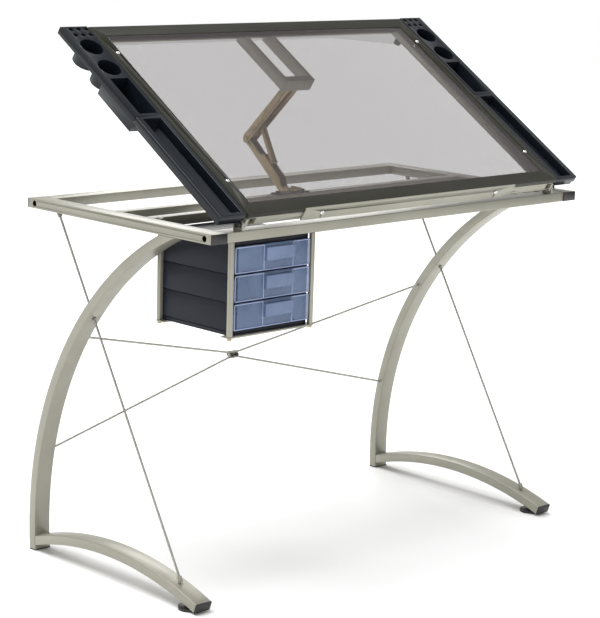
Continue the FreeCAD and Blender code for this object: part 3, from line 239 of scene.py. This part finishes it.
def black_plastic():
    """Moulded black plastic of the plugs and levelers."""
    look = Look("black_plastic", (0.010, 0.010, 0.010), 0.3)
    look.colors(look.noise(20, 3), (0.3, (0.008, 0.008, 0.008)), (0.7, (0.013, 0.013, 0.013)))
    look.roughness(look.noise(300, 3), 0.24, 0.4)
    return look.bump(look.noise(1200, 2), 0.15, 0.0002)


def black_rubber():
    """Dull rubber of the leg pads and rest bumpers."""
    look = Look("black_rubber", (0.012, 0.012, 0.012), 0.75)
    look.colors(look.noise(30, 3), (0.3, (0.010, 0.010, 0.010)), (0.7, (0.018, 0.018, 0.018)))
    look.roughness(look.noise(500, 3), 0.65, 0.85)
    return look.bump(look.noise(1500, 3), 0.4, 0.0002)


LOOKS = {"pewter_paint": pewter(), "dark_frame_paint": dark_frame(), "tray_plastic": tray_plastic(),
         "cabinet_plastic": cabinet_plastic(),
         "drawer_plastic": drawer_plastic("drawer_plastic", (0.13, 0.19, 0.33), (0.20, 0.28, 0.46), 0.6),
         "top_glass": top_glass(), "zinc": zinc(), "chrome_screw": chrome(),
         "black_steel": black_steel(), "cable_wire": cable_wire(), "black_plastic": black_plastic(),
         "black_rubber": black_rubber()}
EXTRA_LOOKS = {"drawer_edges": edge_plastic(), "weld_beads": weld_metal()}

node_slot = {part["node"]: part["material_slot"] for part in frame["record"]["subparts"]}

# ---------------------------------------------------------------- softened CAD edges

EDGE_RADIUS = {"pewter_paint": 1.6, "dark_frame_paint": 0.6, "tray_plastic": 1.2,
               "cabinet_plastic": 1.0, "drawer_plastic": 0.9, "top_glass": 0.8, "zinc": 0.35,
               "black_steel": 0.5, "black_plastic": 0.8, "black_rubber": 0.6}
SMALL_EDGES = {"hinge_brackets": 0.8, "hinge_ears": 0.8, "hanger_straps": 0.5, "cable_clamp_plates": 0.5,
               "top_rails": 0.4, "leg_pads": 0.3, "pencil_ledge": 0.5}


SAME_PLACE = 0.02 * MM
SHARP_ANGLE = math.radians(40)


def soften(name, node):
    """Weld the frame's split corners and round its sharp edges, as bent and moulded parts have."""
    radius = SMALL_EDGES.get(name, EDGE_RADIUS.get(node_slot[name]))
    if radius is None:
        return
    weld = node.modifiers.new("weld", "WELD")
    weld.merge_threshold = SAME_PLACE
    bevel = node.modifiers.new("rounded_edges", "BEVEL")
    bevel.width = radius * MM
    bevel.segments = 3
    bevel.limit_method = "ANGLE"
    bevel.angle_limit = SHARP_ANGLE
    bevel.use_clamp_overlap = True
    bevel.harden_normals = True


for node_name, node_object in nodes.items():
    node_object.data.materials.clear()
    node_object.data.materials.append(LOOKS[node_slot[node_name]].material)
    for face in node_object.data.polygons:
        face.use_smooth = True
    soften(node_name, node_object)


# ---------------------------------------------------------------- building blocks


def add_mesh(name, verts, faces, body, slot, replaces=(), look=None):
    """A piece that rides on a body and takes its finish from a slot, or from a look of its own."""
    mesh = bpy.data.meshes.new(name)
    mesh.from_pydata([tuple(v) for v in verts], [], faces)
    work = bmesh.new()
    work.from_mesh(mesh)
    bmesh.ops.recalc_face_normals(work, faces=work.faces)
    work.to_mesh(mesh)
    work.free()
    mesh.shade_smooth()
    mesh.materials.append((look or LOOKS[slot]).material)
    piece = bpy.data.objects.new(name, mesh)
    bpy.context.collection.objects.link(piece)
    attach(piece, body)
    if replaces:
        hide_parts(*replaces)


def twisted_line(start, end, radius, strands=6, pitch=0.022, step=0.0025, ring=24):
    """Vertices and faces of a laid wire rope between two points."""
    along = end - start
    length = along.length
    direction = along / length
    side = direction.cross(Vector((0, 0, 1))).normalized()
    other = direction.cross(side)
    count = max(2, round(length / step))
    verts, faces = [], []
    for index in range(count + 1):
        travel = length * index / count
        turn = 2 * math.pi * travel / pitch
        for corner in range(ring):
            angle = 2 * math.pi * corner / ring
            lobe = abs(math.cos(strands * (angle - turn) / 2))
            reach = radius * (0.80 + 0.20 * lobe)
            verts.append(start + direction * travel
                         + (side * math.cos(angle) + other * math.sin(angle)) * reach)
    for index in range(count):
        for corner in range(ring):
            after = (corner + 1) % ring
            low, high = index * ring, (index + 1) * ring
            faces.append((low + corner, low + after, high + after, high + corner))
    faces.append(tuple(range(ring)))
    faces.append(tuple(count * ring + corner for corner in range(ring)))
    return verts, faces


def together(parts):
    """One list of vertices and faces from several."""
    verts, faces = [], []
    for part_verts, part_faces in parts:
        shift = len(verts)
        verts += part_verts
        faces += [tuple(index + shift for index in face) for face in part_faces]
    return verts, faces


CABLE_RADIUS = 2.5 * MM


def inner_corners(name, margin):
    """The corners of a node's box, moved in by the margin."""
    low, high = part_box(name)
    return Vector(low) + Vector((margin,) * 3), Vector(high) - Vector((margin,) * 3)


def make_cables():
    """Wire ropes in place of the frame's plain rods: two side stays and the crossed pair behind."""
    for name in ("side_cable_left", "side_cable_right"):
        low, high = inner_corners(name, CABLE_RADIUS)
        middle = (low.x + high.x) / 2
        line = twisted_line(Vector((middle, low.y, low.z)), Vector((middle, high.y, high.z)),
                            CABLE_RADIUS)
        add_mesh(f"{name}_rope", *line, "table_frame", "cable_wire", (name,))
    for name, ends_high in (("cross_cable_upper", True), ("cross_cable_lower", False)):
        low, high = inner_corners(name, CABLE_RADIUS)
        end_y, hub_y = (low.y, high.y) if ends_high else (high.y, low.y)
        end_z, hub_z = (high.z, low.z) if ends_high else (low.z, high.z)
        hub = Vector((0, hub_y, hub_z))
        lines = [twisted_line(Vector((x, end_y, end_z)), hub, CABLE_RADIUS) for x in (low.x, high.x)]
        add_mesh(f"{name}_rope", *together(lines), "table_frame", "cable_wire", (name,))


make_cables()

# ---------------------------------------------------------------- detail shapes


def islands(name):
    """Vertex groups of a node's separate solids, each a list of places."""
    mesh = nodes[name].data
    keys, lead = {}, []
    for vertex in mesh.vertices:
        key = tuple(round(c, 5) for c in vertex.co)
        keys.setdefault(key, len(lead))
        lead.append(keys[key])
    parent = list(range(len(lead)))

    def root(index):
        while parent[index] != index:
            parent[index] = parent[parent[index]]
            index = parent[index]
        return index

    for face in mesh.polygons:
        first = root(lead[face.vertices[0]])
        for index in face.vertices[1:]:
            parent[root(lead[index])] = first
    groups = {}
    for index, vertex in enumerate(mesh.vertices):
        groups.setdefault(root(lead[index]), []).append(vertex.co.copy())
    return list(groups.values())


def extent(places, direction):
    """Lowest and highest reach of places along a direction."""
    reach = [place.dot(direction) for place in places]
    return min(reach), max(reach)


def head_mesh(centre, axis, radius, height, recess, rings=12, around=48):
    """A domed screw head with a driver recess: a height field over a disc, and its rim."""
    side = axis.orthogonal().normalized()
    other = axis.cross(side)
    verts = [centre + axis * (height - recess(0, 0))]
    for ring in range(1, rings + 1):
        share = ring / rings
        for corner in range(around):
            angle = 2 * math.pi * corner / around
            u, v = radius * share * math.cos(angle), radius * share * math.sin(angle)
            rise = height * (1 - 0.55 * share ** 4) - recess(u, v)
            verts.append(centre + side * u + other * v + axis * rise)
    for corner in range(around):
        angle = 2 * math.pi * corner / around
        verts.append(centre + (side * math.cos(angle) + other * math.sin(angle)) * radius)
    faces = [(0, 1 + corner, 1 + (corner + 1) % around) for corner in range(around)]
    for ring in range(rings):
        low, high = 1 + ring * around, 1 + (ring + 1) * around
        for corner in range(around):
            after = (corner + 1) % around
            faces.append((low + corner, high + corner, high + after, low + after))
    return verts, faces


def cross_recess(radius):
    """Depth of a cross slot with tapered walls."""
    def depth(u, v):
        arm = min(abs(u), abs(v))
        reach = max(abs(u), abs(v))
        if reach > radius * 0.62:
            return 0.0
        return max(0.0, 1 - arm / (radius * 0.2)) ** 0.5 * radius * 0.42 * (1 - 0.5 * reach / radius)
    return depth


def hex_recess(radius):
    """Depth of a hexagonal socket."""
    def depth(u, v):
        reach = max(abs(u * math.cos(turn) + v * math.sin(turn))
                    for turn in (0, math.pi / 3, 2 * math.pi / 3))
        return radius * 0.7 if reach < radius * 0.52 else 0.0
    return depth


REST_TILT = math.radians(33)
SLOPE = Vector((0, math.cos(REST_TILT), math.sin(REST_TILT)))
RISE = Vector((0, -SLOPE.z, SLOPE.y))
SCREW_HEAD_HEIGHT, SOCKET_HEIGHT = 2.6 * MM, 1.5 * MM


def make_screws():
    """Chrome pan heads with cross slots on the bars and the ledge, over the frame's plain heads."""
    for name, axis in (("top_screws", RISE), ("ledge_screws", -SLOPE)):
        parts = []
        for places in islands(name):
            low, high = extent(places, axis)
            side_low, side_high = extent(places, Vector((1, 0, 0)))
            radius = (side_high - side_low) / 2
            across = axis.cross(Vector((1, 0, 0)))
            across_low, across_high = extent(places, across)
            height = min(SCREW_HEAD_HEIGHT, (high - low) / 2)
            base = (Vector(((side_low + side_high) / 2, 0, 0))
                    + across * ((across_low + across_high) / 2) + axis * (high - height))
            parts.append(head_mesh(base, axis, radius, height, cross_recess(radius)))
            parts.append(shank_mesh(base, axis, radius * 0.45, high - height - low))
        add_mesh(f"{name}_heads", *together(parts), "tilting_top", "chrome_screw", (name,))


def shank_mesh(top, axis, radius, length, around=20):
    """A threaded shank below a head: the radius swells and shrinks along its length."""
    side = axis.orthogonal().normalized()
    other = axis.cross(side)
    steps = max(4, round(length / (0.35 * MM)))
    verts, faces = [], []
    for step in range(steps + 1):
        down = length * step / steps
        for corner in range(around):
            angle = 2 * math.pi * corner / around
            ridge = math.cos(2 * math.pi * down / (1.4 * MM) - angle)
            reach = radius * (0.92 + 0.08 * ridge)
            verts.append(top - axis * down
                         + (side * math.cos(angle) + other * math.sin(angle)) * reach)
    for step in range(steps):
        for corner in range(around):
            after = (corner + 1) % around
            low, high = step * around, (step + 1) * around
            faces.append((low + corner, low + after, high + after, high + corner))
    faces.append(tuple(steps * around + corner for corner in range(around)))
    return verts, faces


def make_frame_bolts():
    """Socket heads over the frame bolts' plain heads."""
    parts = []
    for places in islands("frame_bolts"):
        low = Vector(tuple(min(p[i] for p in places) for i in range(3)))
        high = Vector(tuple(max(p[i] for p in places) for i in range(3)))
        outward = Vector((1 if low.x > 0 else -1, 0, 0))
        radius = (high.z - low.z) / 2
        face_x = high.x if outward.x > 0 else low.x
        middle = (low + high) / 2
        base = Vector((face_x, middle.y, middle.z)) - outward * SOCKET_HEIGHT
        parts.append(head_mesh(base, outward, radius, SOCKET_HEIGHT, hex_recess(radius)))
    add_mesh("frame_bolt_sockets", *together(parts), "table_frame", "black_steel")


def box_mesh(low, high, round_by=0.6 * MM):
    """A block with its edges rounded off by a bevel."""
    work = bmesh.new()
    bmesh.ops.create_cube(work, size=1)
    size = high - low
    for vertex in work.verts:
        vertex.co = Vector(tuple((vertex.co[i] + 0.5) * size[i] + low[i] for i in range(3)))
    bmesh.ops.bevel(work, geom=list(work.edges), offset=min(round_by, min(size) * 0.45), segments=2,
                    affect="EDGES", profile=0.5)
    work.verts.index_update()
    verts = [vertex.co.copy() for vertex in work.verts]
    faces = [tuple(vertex.index for vertex in face.verts) for face in work.faces]
    work.free()
    return verts, faces


PULL_LEFT, PULL_RIGHT, PULL_REACH = -405 * MM, -330 * MM, 8 * MM
RIB, RIB_PROUD, RIB_SUNK = 2.2 * MM, 1.2 * MM, 0.4 * MM


def make_drawer_fronts():
    """Ribs round the windows of each drawer front, the pull's lip and a lighter plate on the pull above
    it.
    """
    for number, body in ((1, "drawer_bottom"), (2, "drawer_middle"), (3, "drawer_top")):
        low, high = (Vector(corner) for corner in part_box(f"drawer_{number}"))
        front = low.y + PULL_REACH
        left, right = low.x, high.x
        z0, z1 = low.z + 0.5 * MM, high.z - 0.5 * MM
        ribs = []
        for x0, x1 in ((left, PULL_LEFT), (PULL_RIGHT, right)):
            ribs += [((x0, z0), (x1, z0 + RIB)), ((x0, z1 - RIB), (x1, z1)),
                     ((x0, z0), (x0 + RIB, z1)), ((x1 - RIB, z0), (x1, z1))]
        ribs.append(((PULL_LEFT, z0), (PULL_RIGHT, z0 + RIB)))
        parts = [box_mesh(Vector((a[0], front - RIB_PROUD, a[1])),
                          Vector((b[0], front + RIB_SUNK, b[1]))) for a, b in ribs]
        parts.append(box_mesh(Vector((PULL_LEFT + 0.5 * MM, low.y + 0.3 * MM, z0 + 21 * MM)),
                              Vector((PULL_RIGHT - 0.5 * MM, low.y + 1.5 * MM, z1 - 7 * MM))))
        add_mesh(f"drawer_{number}_ribs", *together(parts), body, "drawer_plastic",
                 look=EXTRA_LOOKS["drawer_edges"])


WELD_INSET, WELD_RADIUS, WELD_RIPPLES = 3 * MM, 2.2 * MM, 14


def make_welds():
    """Rippled beads where each foot meets the front of its leg."""
    for side_name in ("left", "right"):
        foot_low, foot_high = (Vector(corner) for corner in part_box(f"foot_{side_name}"))
        y = foot_high.y
        x0, x1 = foot_low.x + WELD_INSET, foot_high.x - WELD_INSET
        top = max(vertex.co.z for vertex in nodes[f"foot_{side_name}"].data.vertices
                  if vertex.co.y > y - 6 * MM)
        verts, faces, around, steps = [], [], 12, 64
        for step in range(steps + 1):
            share = step / steps
            swell = WELD_RADIUS * (0.8 + 0.2 * math.cos(share * 2 * math.pi * WELD_RIPPLES))
            swell *= min(1, 8 * share + 0.15, 8 * (1 - share) + 0.15)
            for corner in range(around):
                angle = 2 * math.pi * corner / around
                verts.append(Vector((x0 + (x1 - x0) * share, y - 1 * MM + swell * math.cos(angle),
                                     top + swell * math.sin(angle))))
        for step in range(steps):
            for corner in range(around):
                after = (corner + 1) % around
                faces.append((step * around + corner, step * around + after,
                              (step + 1) * around + after, (step + 1) * around + corner))
        add_mesh(f"weld_bead_{side_name}", verts, faces, "table_frame", "pewter_paint",
                 look=EXTRA_LOOKS["weld_beads"])


GRIP_RIBS, GRIP_HALF_WIDTH, GRIP_REACH = 36, 0.9 * MM, 0.8 * MM
GRIP_HEIGHTS = (1 * MM, 5 * MM)


def make_levelers():
    """Gripping ribs round the leveler discs."""
    for side_name in ("left", "right"):
        low, high = (Vector(corner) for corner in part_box(f"leveler_{side_name}"))
        centre = (low + high) / 2
        radius = (high.x - low.x) / 2
        parts = []
        for index in range(GRIP_RIBS):
            angle = 2 * math.pi * index / GRIP_RIBS
            way = Vector((math.cos(angle), math.sin(angle), 0))
            across = Vector((-way.y, way.x, 0))
            foot = Vector((centre.x, centre.y, low.z)) + way * (radius - GRIP_HALF_WIDTH)
            ring = [foot + across * (s * GRIP_HALF_WIDTH) + way * w + Vector((0, 0, z))
                    for z in GRIP_HEIGHTS for s, w in ((-1, 0), (0, GRIP_REACH), (1, 0))]
            parts.append((ring, [(0, 1, 4, 3), (1, 2, 5, 4), (0, 3, 5, 2), (0, 2, 1), (3, 4, 5)]))
        add_mesh(f"leveler_{side_name}_grip", *together(parts), f"leveler_foot_{side_name}",
                 "black_plastic")


make_screws()
make_frame_bolts()
make_drawer_fronts()
make_welds()
make_levelers()

# ---------------------------------------------------------------- stage and light


SURROUND_AS_LIGHT = 0.5
FLOOR_HALF_SIZE = 12


def make_stage():
    """A white floor and surround: bright to the camera, softer as a light on the object."""
    size = FLOOR_HALF_SIZE
    mesh = bpy.data.meshes.new("floor")
    mesh.from_pydata([(-size, -size, 0), (size, -size, 0), (size, size, 0), (-size, size, 0)], [],
                     [(0, 1, 2, 3)])
    floor = bpy.data.objects.new("floor", mesh)
    bpy.context.collection.objects.link(floor)
    look = Look("floor_paper", (0.9, 0.9, 0.9), 0.9)
    look.colors(look.noise(4, 2), (0.3, (0.915, 0.915, 0.915)), (0.7, (0.925, 0.925, 0.925)))
    mesh.materials.append(look.material)
    world = bpy.data.worlds.new("surround")
    world.use_nodes = True
    tree = world.node_tree
    background = tree.nodes["Background"]
    background.inputs["Color"].default_value = (1, 1, 1, 1)
    path = tree.nodes.new("ShaderNodeLightPath")
    spread = tree.nodes.new("ShaderNodeMapRange")
    spread.inputs["To Min"].default_value = SURROUND_AS_LIGHT
    spread.inputs["To Max"].default_value = 1.0
    tree.links.new(path.outputs["Is Camera Ray"], spread.inputs["Value"])
    tree.links.new(spread.outputs["Result"], background.inputs["Strength"])
    bpy.context.scene.world = world


def add_light(name, place, target, width, height, power):
    """A soft box turned towards its target."""
    light = bpy.data.lights.new(name, "AREA")
    light.shape = "RECTANGLE"
    light.size, light.size_y, light.energy = width, height, power
    holder = bpy.data.objects.new(name, light)
    holder.location = place
    holder.rotation_mode = "QUATERNION"
    holder.rotation_quaternion = (Vector(target) - Vector(place)).to_track_quat("-Z", "Y")
    bpy.context.collection.objects.link(holder)


def add_sky(strength):
    """A broad sun straight above, so the whole floor is as white as the surround."""
    light = bpy.data.lights.new("sky", "SUN")
    light.energy, light.angle = strength, math.radians(50)
    holder = bpy.data.objects.new("sky", light)
    holder.rotation_euler = (math.radians(-8), math.radians(-8), 0)
    bpy.context.collection.objects.link(holder)


make_stage()
add_sky(3.2)
add_light("front_left", (-3.0, -2.0, 2.0), (0, 0, 0.6), 1.2, 1.6, 8)
add_light("rear_right", (2.2, 2.6, 2.2), (0, 0, 0.7), 1.4, 1.4, 25)
